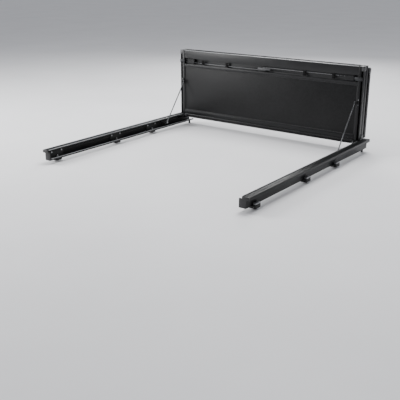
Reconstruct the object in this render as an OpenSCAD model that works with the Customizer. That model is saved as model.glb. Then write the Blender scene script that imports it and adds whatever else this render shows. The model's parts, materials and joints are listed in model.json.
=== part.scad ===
/* [Bed] */
// Clear width between the inner lips of the two side rails
bed_w = 1452; // [1200:1:1700]
// Height of the side rails' top face above the seat on the truck bed
rail_rise = 18; // [16:1:24]
// Depth of the side rails below the seat, inside the bed
rail_drop = 46; // [36:1:80]
// Thickness of the foam that seals the rails and the header on the bed
foam_t = 3; // [2:0.5:5]
// How far the closed cover reaches over the tailgate, past the rails' rear ends
tail_overhang = 68; // [20:1:90]

/* [Panels] */
// How far the panels reach over each rail's inner lip
panel_overlap = 14; // [13:1:20]
// Thickness of each panel
panel_t = 28; // [26:1:40]
// Length of the front panel, from the lift hinge to its rear edge
front_l = 487; // [400:1:600]
// How much shorter the middle panel is, to clear the header when it hangs down
middle_step = 5; // [4:1:12]
// How much shorter again the rear panel is
rear_step = 22; // [0:1:120]
// Width of the extruded frame along each side of a panel
side_frame_w = 36; // [34:1:60]
// Thickness of the cored board in each panel
board_t = 18; // [12:1:20]
// Depth of the board behind the panel's underside
board_recess = 6; // [4:0.5:8]
// Depth of the groove that holds the board's edges
groove_depth = 12; // [8:1:16]
// Width of the bar at the cab end of each panel
hinge_bar_w = 36; // [28:1:60]
// Width of the box section at the rear end of each panel
box_bar_w = 60; // [40:1:90]
// Width of the open channel that holds the latches and their cables
channel_w = 42; // [40:1:60]
// Depth of that channel
channel_depth = 18; // [17:1:20]

/* [Folding] */
// Gap between the outer faces of the folded front and middle panels
gap_outer = 8; // [8:0.5:12]
// Gap between the undersides of the folded middle and rear panels, for their latches
gap_under = 18; // [17.5:0.5:30]
// Clearance between neighbouring edges at a hinge
edge_gap = 1; // [0.8:0.1:3]
// Clearance between a hinge pin and its bore, on the radius
pin_clearance = 0.05; // [0.02:0.01:0.1]
// Radius of the lift hinge's pin
lift_pin_r = 3; // [2.5:0.5:4]
// Radius of the fold hinges' pins
fold_pin_r = 1.6; // [1.4:0.1:1.8]
// Number of knuckles along each hinge
knuckle_count = 11; // [5:2:21]

/* [Rails] */
// Wall thickness of the rails and the bars
wall = 3; // [2:0.5:4]
// Width of each side rail's top face
rail_top_w = 46; // [38:1:60]
// How far the rail's upright web stands outside its inner lip
web_inset = 22; // [20:1:26]
// How far the rain gutter reaches inside the lip
gutter_reach = 18; // [10:1:20]
// Height of the gutter's upturned edge
gutter_lip = 10; // [6:1:14]
// Distance from the header's cab edge to the folded stack's cab face
header_front = 4; // [0:1:20]
// Distance from the lift hinge's axis to the header's rear edge
header_back = 8; // [7.5:0.5:14]

/* [Clamps] */
// Places of the clamps along each rail, behind the lift hinge
clamp_1 = 360; // [330:1:420]
// Second clamp
clamp_2 = 740; // [600:1:900]
// Place of the third clamp, in front of the rail's rear end
clamp_3_in = 80; // [60:1:200]
// Width of a clamp along the rail
clamp_w = 50; // [40:1:70]
// Length of the plate that carries each clamp along the rail
hanger_len = 110; // [90:1:140]
// Clear height of the clamp's mouth, below the foam
clamp_mouth = 30; // [24:1:34]
// Radius of the clamp bolts
clamp_bolt_r = 4; // [3:0.5:5]

/* [Latches] */
// Travel of each latch bolt
latch_travel = 14; // [10:1:16]
// Radius of the spool that draws the cables
spool_r = 9; // [8:0.5:10]
// Radius of the release cables
cable_r = 2; // [1.5:0.1:2.2]
// Distance of the latch housing's inner end from the panel's side edge
housing_in = 128; // [110:1:200]
// Place of the outer cable clip, inside the panel's side edge
clip_outer_in = 209; // [180:1:290]
// Place of the inner cable clip, inside the panel's side edge
clip_inner_in = 423; // [340:1:560]

/* [Prop rods] */
// Radius of the prop rods
rod_r = 4; // [2.5:0.5:5]
// Distance of each rod inside the rail's lip
rod_inset = 26; // [24:1:34]
// Distance of the rod's pivot behind the lift hinge
rod_pivot_back = 225; // [200:1:260]
// Depth of the rod's pivot below the seat
rod_pivot_drop = 7; // [5:1:12]
// Height of the keeper on the front panel, above the lift hinge
keeper_height = 254; // [220:1:280]
// Distance of the keeper's pin from the panel's underside
keeper_stand = 12; // [12:0.5:16]
// Radius of the keeper's pin and of the rod's pivot pin
keeper_r = 4; // [3:0.5:5]

/* [Hidden] */
$fn = 48;

sides = [-1, 1];
cut = 1;                          // how far a cutting body runs past the face it cuts
bolt_clearance = 0.4;             // hole radius over bolt radius
fit_gap = 0.2;                    // gap between a board or slide and its groove

lip_x = bed_w / 2;
panel_x = lip_x + panel_overlap;
middle_l = front_l - middle_step;
rear_l = middle_l - rear_step;
rail_rear = front_l + middle_l + rear_l + 4 * edge_gap - tail_overhang;
frame_in_x = panel_x - side_frame_w;
seal_h = 2.5;
lift_z = rail_rise + seal_h + 0.5;
stack_t = 3 * panel_t + gap_under + gap_outer;
stack_top = lift_z + front_l;
fold_rise = gap_outer / 2;
fold_y = panel_t + fold_rise;
fold_z = stack_top + edge_gap;
middle_y = 2 * panel_t + gap_outer;
rear_fold_rise = gap_under / 2;
rear_fold_y = middle_y + rear_fold_rise;
rear_edge_z = stack_top - middle_l;
rear_fold_z = rear_edge_z - edge_gap;
rear_y = middle_y + gap_under;
header_y = stack_t + header_front;

lift_knuckle_r = lift_pin_r + 3.5;
fold_knuckle_r = fold_rise - 0.5;
rear_knuckle_r = fold_pin_r + 2.4;
knuckle_span = 2 * frame_in_x - 8;
knuckle_pitch = knuckle_span / knuckle_count;
knuckle_gap = 0.6;

web_x = lip_x + web_inset;
rail_len = rail_rear + header_y;
gutter_z = -rail_drop;
foot_w = 14;

latch_inset = channel_w / 2 + box_bar_w;
bolt_half_w = 11;
bolt_low = 4;
bolt_high = 12;
hook_depth = 16;
hook_t = 9;
toe_x = lip_x + 12;
arm_x = frame_in_x - 2;
arm_t = 12;
housing_half_w = 17;
housing_x = panel_x - housing_in;
clip_outer = panel_x - clip_outer_in;
clip_inner = panel_x - clip_inner_in;
housing_end_x = arm_x - arm_t - latch_travel - 2;
cable_z = (bolt_low + bolt_high) / 2;

rod_x = lip_x - rod_inset;
rod_dy = rod_pivot_back - keeper_stand;
rod_dz = lift_z + keeper_height + rod_pivot_drop;
rod_len = norm([rod_dy, rod_dz]);
rod_angle = atan2(rod_dz, rod_dy);
rod_eye_r = keeper_r + 4;
rod_eye_t = 6;
hook_r = keeper_r + 6;
hook_slot_r = keeper_r + 1;
hook_mouth_angle = 65;            // the hook's mouth, below the +Y direction

clamps = [clamp_1, clamp_2, rail_rear - clamp_3_in];
clamp_bolt_x = lip_x + 6;
rib_depth = 4;
hanger_x = web_x - 8;
rib_low_z = -rail_drop / 4;
rib_high_z = rail_rise - wall - 13;
hanger_t = 4;
hanger_bolt_z = (rib_low_z + wall + rib_high_z) / 2;
hanger_bolt_r = 3;
drain_x = lip_x + 4;
drain_y = header_y - 24;
clamp_bottom = gutter_z - 14;
clamp_arm_in = lip_x + rail_top_w - 12;
bracket_x = lip_x - 36;
bracket_z = rib_low_z + wall + 0.5;
bracket_len = 50;
bracket_screws = [bracket_x + 8, bracket_x + 26];
screw_r = 2.5;
screw_z = foam_t + 5;
ledge_x = bracket_x - 4;
ledge_back = 1;
end_gap = 1;
bumper_inset = 126;
bumper_gap = 5;

// A profile drawn in (Y, Z) and drawn out along X, centred.
module along_x(len) {
    translate([-len / 2, 0, 0])
        rotate([90, 0, 90])
            linear_extrude(len) children();
}

// A profile drawn in (X, Z) and drawn out towards -Y from y = 0.
module along_minus_y(len) {
    rotate([90, 0, 0])
        linear_extrude(len) children();
}

module rod_along_x(r, x0, x1, y, z) {
    translate([x0, y, z])
        rotate([0, 90, 0])
            cylinder(r = r, h = x1 - x0);
}

// A box given by its lowest and highest corners.
module span(low, high) {
    translate(low) cube(high - low);
}

// Every second knuckle along an X axis through the origin, as short solid bars.
module knuckle_row(r, parity) {
    for (i = [parity : 2 : knuckle_count - 1])
        rod_along_x(
            r,
            -knuckle_span / 2 + i * knuckle_pitch + knuckle_gap / 2,
            -knuckle_span / 2 + (i + 1) * knuckle_pitch - knuckle_gap / 2,
            0, 0
        );
}

// The webs that tie the same knuckles to their bar. tab is [y0, z0, y1, z1].
module knuckle_tabs(tab, parity) {
    for (i = [parity : 2 : knuckle_count - 1])
        span(
            [-knuckle_span / 2 + i * knuckle_pitch + knuckle_gap / 2, tab[0], tab[1]],
            [-knuckle_span / 2 + (i + 1) * knuckle_pitch - knuckle_gap / 2, tab[2], tab[3]]
        );
}

module pin_bore(r) {
    rod_along_x(r + pin_clearance, -panel_x, panel_x, 0, 0);
}

// Places for the three panels. Each panel is drawn closed and flat, underside at z = 0,
// cab edge at y = 0, running towards -Y, and stands folded in the stack.
module place_front() {
    translate([0, 0, lift_z]) rotate([-90, 0, 0]) children();
}

module place_middle() {
    translate([0, middle_y, stack_top]) rotate([90, 0, 0]) children();
}

module place_rear() {
    translate([0, rear_y, rear_edge_z]) rotate([-90, 0, 0]) children();
}

// ---------------------------------------------------------------- frame on the truck

module rail_profile() {
    union() {
        translate([0, rail_rise - wall]) square([rail_top_w, wall]);
        translate([rail_top_w - wall, foam_t]) square([wall, rail_rise - foam_t]);
        translate([rail_top_w - foot_w, foam_t]) square([foot_w, wall]);
        translate([web_inset, gutter_z]) square([wall, rail_rise - gutter_z]);
        translate([-gutter_reach, gutter_z]) square([gutter_reach + web_inset + wall, wall]);
        translate([-gutter_reach, gutter_z]) square([wall, gutter_lip]);
        for (rib_z = [rib_low_z, rib_high_z])
            translate([web_inset - rib_depth, rib_z]) square([rib_depth, wall]);
    }
}

// Right-hand rail; the left-hand one is its mirror image.
module side_rail() {
    difference() {
        translate([lip_x, header_y, 0]) along_minus_y(rail_len) rail_profile();
        for (y = clamps)
            translate([clamp_bolt_x, -y, gutter_z - cut])
                cylinder(r = clamp_bolt_r + bolt_clearance, h = wall + 2 * cut);
        translate([drain_x, drain_y, gutter_z - cut])
            cylinder(r = 5, h = wall + 2 * cut);
    }
}

module right_side_rail() { color("#1b1c1e") side_rail(); }
module left_side_rail() { color("#1b1c1e") mirror([1, 0, 0]) side_rail(); }

module header_profile() {
    inner_h = rail_rise - foam_t - 2 * wall;
    cell_w = (header_y - header_back - 4 * wall) / 3;
    difference() {
        translate([header_back, foam_t]) square([header_y - header_back, rail_rise - foam_t]);
        for (i = [0 : 2])
            translate([header_back + wall + i * (cell_w + wall), foam_t + wall])
                square([cell_w, inner_h]);
    }
}

module header_rail() {
    ring_tab = [2, -5, header_back + 4, -1];
    color("#1b1c1e")
        difference() {
            union() {
                along_x(bed_w - 2 * end_gap) header_profile();
                span([-ledge_x, -ledge_back, foam_t], [ledge_x, header_back + 1, foam_t + wall]);
                translate([0, 0, lift_z]) {
                    knuckle_row(lift_knuckle_r, 0);
                    knuckle_tabs(ring_tab, 0);
                }
            }
            translate([0, 0, lift_z]) pin_bore(lift_pin_r);
        }
}

module lift_hinge_pin() {
    color("#9a9c9e")
        rod_along_x(lift_pin_r, -knuckle_span / 2 - 2, knuckle_span / 2 + 2, 0, lift_z);
}

module rail_top_seals() {
    color("#0c0c0d")
        for (side = sides)
            mirror([side < 0 ? 1 : 0, 0, 0])
                translate([lip_x, header_back, rail_rise])
                    along_minus_y(rail_rear + header_back)
                        union() {
                            translate([2, 0]) square([10, 1]);
                            translate([4, 0]) square([6, seal_h]);
                        }
}

module foam_strips() {
    color("#101011") {
        for (side = sides)
            mirror([side < 0 ? 1 : 0, 0, 0])
                span(
                    [lip_x + rail_top_w - foot_w, -rail_rear, 0],
                    [lip_x + rail_top_w, header_y, foam_t]
                );
        span([-lip_x + 2, header_back + 1, 0], [lip_x - 2, header_y - 2, foam_t]);
        span([-ledge_x, -ledge_back, 0], [ledge_x, header_back + 1, foam_t]);
    }
}

module header_bumpers() {
    bumper_h = rear_edge_z + edge_gap - rail_rise - bumper_gap;
    color("#0c0c0d")
        for (place = [-3, -1, 1, 3])
            translate([place / 3 * (lip_x - bumper_inset), rear_y + panel_t / 2, rail_rise])
                difference() {
                    cylinder(r = 11, h = bumper_h);
                    translate([0, 0, bumper_h - 2]) cylinder(r = 4, h = 3);
                }
}

// Angle that ties the header's end to the rail's web, below the rail's upper rib.
module corner_brackets() {
    rear = header_back - bracket_len;
    color("#26272a")
        for (side = sides)
            mirror([side < 0 ? 1 : 0, 0, 0])
                difference() {
                    union() {
                        span([bracket_x, rear, bracket_z], [web_x, header_back, bracket_z + wall]);
                        span(
                            [bracket_x, header_back - wall, bracket_z],
                            [lip_x - 2, header_back, foam_t + 9]
                        );
                        span(
                            [web_x - wall, rear, bracket_z],
                            [web_x, header_back, rib_high_z - fit_gap]
                        );
                    }
                    for (x = bracket_screws)
                        translate([x, header_back + cut, screw_z])
                            rotate([90, 0, 0])
                                cylinder(r = screw_r + bolt_clearance, h = wall + 2 * cut);
                }
}

module clamp_bolt() {
    translate([0, 0, clamp_bottom - 6]) cylinder(r = 7.5, h = 6, $fn = 6);
    translate([0, 0, clamp_bottom - 1]) cylinder(r = clamp_bolt_r, h = wall + 33);
    translate([0, 0, gutter_z + 2 * wall]) cylinder(r = 7, h = 6, $fn = 6);
}

// Button-headed screw along +X, its head's face at x = 0.
module rib_screw() {
    rod_along_x(hanger_bolt_r + 2.2, 0, 3, 0, 0);
    rod_along_x(hanger_bolt_r, 2, hanger_t + rib_depth + 2.5, 0, 0);
}

module fasteners() {
    color("#8d8f92")
        for (side = sides)
            mirror([side < 0 ? 1 : 0, 0, 0]) {
                for (y = clamps) {
                    translate([clamp_bolt_x, -y, 0]) clamp_bolt();
                    for (end = sides)
                        translate([hanger_x - 3, end * (hanger_len / 2 - 14) - y, hanger_bolt_z])
                            rib_screw();
                }
                for (x = bracket_screws)
                    translate([x, header_back - wall, screw_z])
                        rotate([90, 0, 0]) {
                            cylinder(r = screw_r + 2.1, h = 2.6);
                            translate([0, 0, -wall]) cylinder(r = screw_r, h = wall + 1);
                        }
            }
}

// Angle plate in the gutter, screwed to the rail's ribs, that each clamp bolt pulls on.
module clamp_hangers() {
    color("#2b2c2f")
        for (side = sides)
            mirror([side < 0 ? 1 : 0, 0, 0])
                for (y = clamps)
                    translate([0, -y, 0])
                        difference() {
                            union() {
                                span(
                                    [hanger_x, -hanger_len / 2, gutter_z + wall],
                                    [hanger_x + hanger_t, hanger_len / 2, rib_high_z + wall]
                                );
                                span(
                                    [clamp_bolt_x - 10, -hanger_len / 2, gutter_z + wall],
                                    [hanger_x + hanger_t, hanger_len / 2, gutter_z + 2 * wall]
                                );
                            }
                            translate([clamp_bolt_x, 0, gutter_z])
                                cylinder(r = clamp_bolt_r + bolt_clearance, h = 3 * wall);
                            for (end = sides)
                                rod_along_x(
                                    hanger_bolt_r + bolt_clearance, hanger_x - cut, web_x,
                                    end * (hanger_len / 2 - 14), hanger_bolt_z
                                );
                        }
}

module clamp_bodies() {
    color("#2b2c2f")
        for (side = sides)
            mirror([side < 0 ? 1 : 0, 0, 0])
                for (y = clamps)
                    translate([0, -y, 0])
                        difference() {
                            union() {
                                span(
                                    [lip_x - 6, -clamp_w / 2, clamp_bottom],
                                    [lip_x + rail_top_w, clamp_w / 2, gutter_z]
                                );
                                span(
                                    [clamp_arm_in, -clamp_w / 2, clamp_bottom],
                                    [lip_x + rail_top_w, clamp_w / 2, -clamp_mouth - 8]
                                );
                            }
                            translate([clamp_bolt_x, 0, clamp_bottom - cut])
                                cylinder(r = clamp_bolt_r + bolt_clearance, h = 14 + 2 * cut);
                        }
}

module clamp_jaws() {
    tooth_h = 2;
    color("#8d8f92")
        for (side = sides)
            mirror([side < 0 ? 1 : 0, 0, 0])
                for (y = clamps)
                    translate([clamp_arm_in - 5, clamp_w / 2 - 2 - y, -clamp_mouth - 8])
                        along_minus_y(clamp_w - 4)
                            union() {
                                square([17, 8 - tooth_h]);
                                for (i = [0 : 4])
                                    translate([1 + i * 3.4, 8 - tooth_h]) square([1.8, tooth_h]);
                            }
}

module rail_end_caps() {
    color("#0f1011")
        for (side = sides)
            mirror([side < 0 ? 1 : 0, 0, 0])
                translate([lip_x, -rail_rear, 0])
                    along_minus_y(4)
                        union() {
                            translate([0, 0]) square([rail_top_w, rail_rise]);
                            translate([-gutter_reach, gutter_z])
                                square([gutter_reach + web_inset + wall, rail_drop + 6]);
                        }
}

module drain_nipples() {
    color("#0f1011")
        for (side = sides)
            mirror([side < 0 ? 1 : 0, 0, 0])
                translate([drain_x, drain_y, 0])
                    difference() {
                        union() {
                            translate([0, 0, gutter_z - 4]) cylinder(r = 10, h = 4);
                            translate([0, 0, gutter_z - 26]) cylinder(r = 7, h = 23);
                            for (barb = [0 : 2])
                                translate([0, 0, gutter_z - 25 + barb * 6]) cylinder(r = 8, h = 2.5);
                        }
                        translate([0, 0, gutter_z - 26 - cut]) cylinder(r = 5, h = 26 + 2 * cut);
                    }
}

// ---------------------------------------------------------------- folding panels

module board(len) {
    color("#141518")
        span(
            [-frame_in_x - groove_depth, -(len - channel_w - box_bar_w - 4) + fit_gap, board_recess],
            [frame_in_x + groove_depth, -(hinge_bar_w - groove_depth) - fit_gap, board_recess + board_t]
        );
}

// The board's groove in a bar's profile, from y0 for one groove depth and a little more.
module board_groove(y0) {
    translate([y0, board_recess - fit_gap]) square([groove_depth + cut, board_t + 2 * fit_gap]);
}

module hinge_bar_profile() {
    difference() {
        translate([-hinge_bar_w, 0]) square([hinge_bar_w - edge_gap, panel_t]);
        translate([-hinge_bar_w - cut, 0]) board_groove(0);
        translate([-hinge_bar_w + groove_depth + wall, wall + 5])
            square([hinge_bar_w - groove_depth - 13, panel_t - 2 * wall - 10]);
    }
}

// Bar at a panel's cab end. axis is the hinge axis in (y, z), r its knuckles' radius,
// tab the web that ties them to the bar, parity which of the knuckles it carries.
module hinge_bar(axis, r, pin_r, tab, parity) {
    color("#1f2023")
        difference() {
            union() {
                difference() {
                    along_x(2 * frame_in_x - 2 * fit_gap) hinge_bar_profile();
                    translate([0, axis[0], axis[1]])
                        rod_along_x(r + edge_gap, -panel_x, panel_x, 0, 0);
                }
                translate([0, axis[0], axis[1]]) {
                    knuckle_row(r, parity);
                    knuckle_tabs(tab, parity);
                }
            }
            translate([0, axis[0], axis[1]]) pin_bore(pin_r);
        }
}

// Box section, latch channel and board groove of the bar at a panel's rear end.
module latch_bar_profile(len) {
    channel_y = -len + box_bar_w;
    groove_y = channel_y + channel_w;
    difference() {
        translate([-len + edge_gap, 0])
            square([box_bar_w + channel_w + 4 + groove_depth - edge_gap, panel_t]);
        translate([channel_y, -cut]) square([channel_w, channel_depth + cut]);
        translate([0, 0]) board_groove(groove_y + 4);
        translate([-len + wall + 8, wall]) square([box_bar_w - 2 * wall - 8, panel_t - 2 * wall]);
    }
}

module latch_bar(len, axis, r, pin_r, tab, parity) {
    color("#3a3b3e")
        difference() {
            union() {
                difference() {
                    along_x(2 * frame_in_x - 2 * fit_gap) latch_bar_profile(len);
                    translate([0, axis[0], axis[1]])
                        rod_along_x(r + edge_gap, -panel_x, panel_x, 0, 0);
                }
                translate([0, axis[0], axis[1]]) {
                    knuckle_row(r, parity);
                    knuckle_tabs(tab, parity);
                }
            }
            translate([0, axis[0], axis[1]]) pin_bore(pin_r);
            lever_seat(len);
        }
}

// The rear panel's last bar carries no hinge.
module plain_latch_bar(len) {
    color("#3a3b3e")
        difference() {
            along_x(2 * frame_in_x - 2 * fit_gap) latch_bar_profile(len);
            lever_seat(len);
        }
}

// Bore for the release lever's pivot in the channel's floor.
module lever_seat(len) {
    translate([0, -len + latch_inset, channel_depth - cut])
        cylinder(r = 3 + pin_clearance, h = 6 + cut);
}

module side_frame(len) {
    slot_w = side_frame_w - groove_depth - 3 * wall - 2;
    translate([frame_in_x, -edge_gap, 0])
        along_minus_y(len - 2 * edge_gap)
            difference() {
                square([side_frame_w, panel_t]);
                translate([-cut, board_recess - fit_gap])
                    square([groove_depth + cut + 0.3, board_t + 2 * fit_gap]);
                translate([groove_depth + 2 * wall, wall])
                    square([side_frame_w - groove_depth - 3 * wall, panel_t - 2 * wall]);
                translate([groove_depth + 2 * wall + 1, -cut]) square([slot_w, wall + 2 * cut]);
            }
}

module right_frame(len) { color("#1b1c1e") side_frame(len); }
module left_frame(len) { color("#1b1c1e") mirror([1, 0, 0]) side_frame(len); }

module latch_housings(len) {
    color("#2b2c2f")
        for (side = sides)
            mirror([side < 0 ? 1 : 0, 0, 0])
                translate([0, -len + latch_inset, 0])
                    difference() {
                        span(
                            [housing_x, -housing_half_w, bolt_low - 3],
                            [housing_end_x, housing_half_w, channel_depth]
                        );
                        span(
                            [housing_x - cut, -bolt_half_w - fit_gap, bolt_low - fit_gap],
                            [housing_end_x + cut, bolt_half_w + fit_gap, bolt_high + fit_gap]
                        );
                        for (x = [housing_x + 9, housing_end_x - 9])
                            for (y = [-1, 1])
                                translate([x, y * (bolt_half_w + 3), bolt_low - 3 - cut])
                                    cylinder(r = 2, h = 3 + cut);
                    }
}

// Latch bolt: a flat slide, an arm down past the rail's lip and a toe with a sloped nose.
// It keeps its place beside its own cable, which runs at cable_side from the middle.
module latch(len) {
    translate([0, -len + latch_inset, 0]) {
        span([housing_x + 8, -bolt_half_w, bolt_low], [arm_x, bolt_half_w, bolt_high]);
        span([arm_x - arm_t, -bolt_half_w, -hook_depth], [arm_x, bolt_half_w, bolt_high]);
        translate([0, bolt_half_w, 0])
            along_minus_y(2 * bolt_half_w)
                polygon([
                    [arm_x - 1, -hook_depth], [toe_x - 8, -hook_depth],
                    [toe_x, -hook_depth + hook_t - 2], [toe_x, -hook_depth + hook_t],
                    [arm_x - 1, -hook_depth + hook_t]
                ]);
    }
}

module right_latch(len) { color("#b5b7ba") latch(len); }
module left_latch(len) { color("#b5b7ba") mirror([1, 0, 0]) latch(len); }

module cable(len, side) {
    start = side < 0 ? -housing_x - 8 : cable_r + 6;
    color("#6c6e72")
        rod_along_x(
            cable_r, start, start + housing_x - cable_r + 2,
            -len + latch_inset - side * spool_r, cable_z
        );
}

module cable_clips(len) {
    clip_half = 6;
    color("#08080a")
        for (side = sides)
            for (x = [clip_inner, clip_outer])
                translate([side * x, -len + latch_inset - side * spool_r, 0])
                    difference() {
                        union() {
                            rod_along_x(cable_r + 3.5, -clip_half, clip_half, 0, cable_z);
                            span(
                                [-clip_half, -cable_r - 2.5, cable_z],
                                [clip_half, cable_r + 2.5, channel_depth]
                            );
                        }
                        rod_along_x(cable_r + 0.3, -clip_half - cut, clip_half + cut, 0, cable_z);
                    }
}

// Spool, pivot and finger lever that draw both cables at once.
module release_lever(len) {
    spool_in_r = spool_r - cable_r - 0.4;
    lever_z = -3;
    lever_len = 44;
    color("#08080a")
        translate([0, -len + latch_inset, 0])
            union() {
                cylinder(r = 13, h = cable_z - cable_r - 0.6);
                cylinder(r = spool_in_r, h = channel_depth - 0.5);
                translate([0, 0, cable_z + cable_r + 0.6]) cylinder(r = 13, h = 2);
                cylinder(r = 3, h = channel_depth + 5);
                translate([0, 0, lever_z]) cylinder(r = 10, h = -lever_z + 1);
                span([-lever_len, -7, lever_z], [lever_len, 7, -0.5]);
                for (side = sides)
                    translate([side * lever_len, 0, lever_z]) cylinder(r = 7, h = -lever_z - 0.5);
            }
}

// ---------------------------------------------------------------- front panel

lift_tab = [-10, 2, 0, 8];
fold_tab_front = [0, -fold_rise - 2, 4, 0];
fold_tab_middle = [-4, -fold_rise - 2, 0, 0];
rear_tab_middle = [0, 0, 8, rear_fold_rise + 1];
rear_tab_rear = [-8, 0, 0, rear_fold_rise + 1];

module front_board() { place_front() board(front_l); }
module front_hinge_bar() { place_front() hinge_bar([0, 0], lift_knuckle_r, lift_pin_r, lift_tab, 1); }
module front_latch_bar() {
    place_front()
        latch_bar(
            front_l, [-front_l - edge_gap, panel_t + fold_rise],
            fold_knuckle_r, fold_pin_r, fold_tab_front, 0
        );
}
module front_left_frame() { place_front() left_frame(front_l); }
module front_right_frame() { place_front() right_frame(front_l); }
module front_latch_housings() { place_front() latch_housings(front_l); }
module front_cable_clips() { place_front() cable_clips(front_l); }
module front_left_latch() { place_front() left_latch(front_l); }
module front_right_latch() { place_front() right_latch(front_l); }
module front_left_cable() { place_front() cable(front_l, -1); }
module front_right_cable() { place_front() cable(front_l, 1); }
module front_release_lever() { place_front() release_lever(front_l); }

module fold_hinge_pin() {
    color("#9a9c9e")
        rod_along_x(fold_pin_r, -knuckle_span / 2 - 1, knuckle_span / 2 + 1, fold_y, fold_z);
}

// ---------------------------------------------------------------- middle panel

module middle_board() { place_middle() board(middle_l); }
module middle_hinge_bar() {
    place_middle()
        hinge_bar([edge_gap, panel_t + fold_rise], fold_knuckle_r, fold_pin_r, fold_tab_middle, 1);
}
module middle_latch_bar() {
    place_middle()
        latch_bar(
            middle_l, [-middle_l - edge_gap, -rear_fold_rise],
            rear_knuckle_r, fold_pin_r, rear_tab_middle, 0
        );
}
module middle_left_frame() { place_middle() left_frame(middle_l); }
module middle_right_frame() { place_middle() right_frame(middle_l); }
module middle_latch_housings() { place_middle() latch_housings(middle_l); }
module middle_cable_clips() { place_middle() cable_clips(middle_l); }
module middle_left_latch() { place_middle() left_latch(middle_l); }
module middle_right_latch() { place_middle() right_latch(middle_l); }
module middle_left_cable() { place_middle() cable(middle_l, -1); }
module middle_right_cable() { place_middle() cable(middle_l, 1); }
module middle_release_lever() { place_middle() release_lever(middle_l); }

module rear_hinge_pin() {
    color("#9a9c9e")
        rod_along_x(
            fold_pin_r, -knuckle_span / 2 - 1, knuckle_span / 2 + 1, rear_fold_y, rear_fold_z
        );
}

// ---------------------------------------------------------------- rear panel

module rear_board() { place_rear() board(rear_l); }
module rear_hinge_bar() {
    place_rear()
        hinge_bar([edge_gap, -rear_fold_rise], rear_knuckle_r, fold_pin_r, rear_tab_rear, 1);
}
module rear_latch_bar() { place_rear() plain_latch_bar(rear_l); }
module rear_left_frame() { place_rear() left_frame(rear_l); }
module rear_right_frame() { place_rear() right_frame(rear_l); }
module rear_latch_housings() { place_rear() latch_housings(rear_l); }
module rear_cable_clips() { place_rear() cable_clips(rear_l); }
module rear_left_latch() { place_rear() left_latch(rear_l); }
module rear_right_latch() { place_rear() right_latch(rear_l); }
module rear_left_cable() { place_rear() cable(rear_l, -1); }
module rear_right_cable() { place_rear() cable(rear_l, 1); }
module rear_release_lever() { place_rear() release_lever(rear_l); }

module tail_seal() {
    color("#0c0c0d")
        place_rear()
            along_x(2 * panel_x - 4)
                union() {
                    translate([-rear_l - 3, 4]) square([3 + edge_gap, 18]);
                    translate([-rear_l - 3, -6]) square([3, 12]);
                }
}

// ---------------------------------------------------------------- prop rods

// Right-hand rod in the plane x = rod_x, from its pivot up to its hook on the keeper.
module prop_rod() {
    translate([rod_x, -rod_pivot_back, -rod_pivot_drop])
        difference() {
            union() {
                rod_along_x(rod_eye_r, -rod_eye_t / 2, rod_eye_t / 2, 0, 0);
                rotate([rod_angle, 0, 0])
                    translate([0, rod_eye_r - 2, 0])
                        rotate([-90, 0, 0])
                            cylinder(r = rod_r - 0.05, h = rod_len - rod_eye_r - hook_r + 4);
                translate([0, rod_dy, rod_dz])
                    rod_along_x(hook_r, -rod_eye_t / 2, rod_eye_t / 2, 0, 0);
            }
            rod_along_x(keeper_r + pin_clearance, -rod_eye_t, rod_eye_t, 0, 0);
            translate([0, rod_dy, rod_dz]) {
                rod_along_x(hook_slot_r, -rod_eye_t, rod_eye_t, 0, 0);
                rotate([-hook_mouth_angle, 0, 0])
                    span([-rod_eye_t, 0, -hook_slot_r], [rod_eye_t, hook_r + cut, hook_slot_r]);
            }
        }
}

module right_prop_rod() { color("#c9cbce") prop_rod(); }
module left_prop_rod() { color("#c9cbce") mirror([1, 0, 0]) prop_rod(); }

module rod_brackets() {
    arm_in = rod_x + rod_eye_t / 2 + 3;
    floor_z = rib_low_z - 0.5;
    half_w = 14;
    color("#2b2c2f")
        for (side = sides)
            mirror([side < 0 ? 1 : 0, 0, 0])
                translate([0, -rod_pivot_back, 0])
                    difference() {
                        union() {
                            span([arm_in, -half_w, floor_z - 6], [arm_in + 6, half_w, 9 - rod_pivot_drop]);
                            span([arm_in, -half_w, floor_z - 6], [web_x, half_w, floor_z]);
                            span([web_x - wall, -half_w, floor_z - 18], [web_x, half_w, floor_z]);
                        }
                        rod_along_x(keeper_r, arm_in - cut, arm_in + 6 + cut, 0, -rod_pivot_drop);
                    }
}

module rod_pivot_pins() {
    arm_in = rod_x + rod_eye_t / 2 + 3;
    head_x = rod_x - rod_eye_t / 2 - 4;
    color("#8d8f92")
        for (side = sides)
            mirror([side < 0 ? 1 : 0, 0, 0]) {
                rod_along_x(keeper_r, head_x, arm_in + 6, -rod_pivot_back, -rod_pivot_drop);
                rod_along_x(rod_eye_r - 1, head_x, head_x + 3, -rod_pivot_back, -rod_pivot_drop);
            }
}

module rod_keepers() {
    lug_x = rod_x + rod_eye_t / 2 + 4;
    pin_end_x = rod_x - rod_eye_t / 2 - 4;
    color("#2b2c2f")
        for (side = sides)
            mirror([side < 0 ? 1 : 0, 0, 0])
                translate([0, 0, lift_z + keeper_height])
                    union() {
                        span([lug_x, -wall, -22], [lip_x - 1.5, 0, 22]);
                        span([lug_x, -keeper_stand - keeper_r - 3, -9], [lug_x + 5, 0, 9]);
                        rod_along_x(keeper_r, pin_end_x, lug_x + 1, -keeper_stand, 0);
                        rod_along_x(keeper_r + 1.5, pin_end_x, pin_end_x + 2.5, -keeper_stand, 0);
                    }
}

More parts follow.
